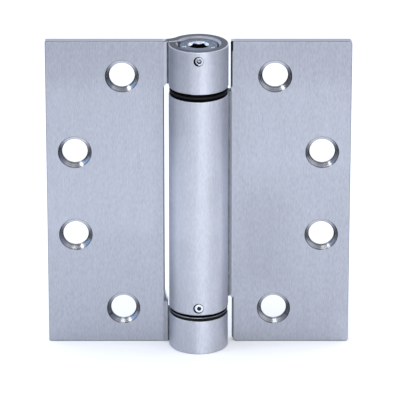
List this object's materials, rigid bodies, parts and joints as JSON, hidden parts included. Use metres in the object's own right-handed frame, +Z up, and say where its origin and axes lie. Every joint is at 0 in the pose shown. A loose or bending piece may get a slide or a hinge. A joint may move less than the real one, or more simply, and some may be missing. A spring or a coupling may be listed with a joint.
{
  "type": "spring hinge",
  "caption": "Self-closing door hinge with two countersunk leaves, a long spring barrel between short knuckles, and an adjusting plug with a hex socket.",
  "frame": {"origin": "on the pin line, at the bottom end of the leaves and of the bottom knuckle", "axes": "+Z up the pin line to the adjusting plug; +X from the pin line to the barrel leaf, with the hinge opened flat; the leaves' countersunk faces look along -Y"},
  "size_m": [0.108, 0.021, 0.1143],
  "materials": {
    "satin_leaf": "satin, fine brushed grain up and down",
    "satin_barrel_leaf": "satin, fine brushed grain up and down",
    "turned_plug": "satin, turned face",
    "coiled_pin": "bright rolled strip",
    "hollow_pin": "bright drawn tube",
    "black_nylon": "matt",
    "dark_washer": "dark hardened steel",
    "plain_washer": "stamped steel",
    "grey_nylon": "matt",
    "spring_wire": "oil-tempered wire",
    "turned_steel": "plain turned",
    "sintered_bush": "grey sintered steel, oil-filled"
  },
  "bodies": {
    "jamb_side": {"knuckle_leaf": "satin_leaf", "tension_plug": "turned_plug", "tension_pin": "coiled_pin", "pintle": "turned_steel", "upper_nylon_washer_top": "black_nylon", "lower_thrust_washer": "grey_nylon", "lower_steel_washer": "plain_washer", "torsion_spring": "spring_wire"},
    "door_side": {"barrel_leaf": "satin_barrel_leaf", "spring_anchor": "turned_steel", "anchor_pin": "hollow_pin", "upper_bush": "sintered_bush", "lower_bush": "sintered_bush", "upper_nylon_washer_low": "black_nylon", "upper_steel_washer": "dark_washer", "lower_nylon_washer": "black_nylon"}
  },
  "joints": [
    {"name": "leaf_swing", "type": "hinge", "parent": "jamb_side", "child": "door_side", "pos_m": [0, 0, 0.0555], "axis": [0, 0, 1], "range_deg": [-180, 0], "stiffness_Nm_per_rad": 0.88, "springref_deg": -209.13, "deforming": ["torsion_spring"]}
  ]
}
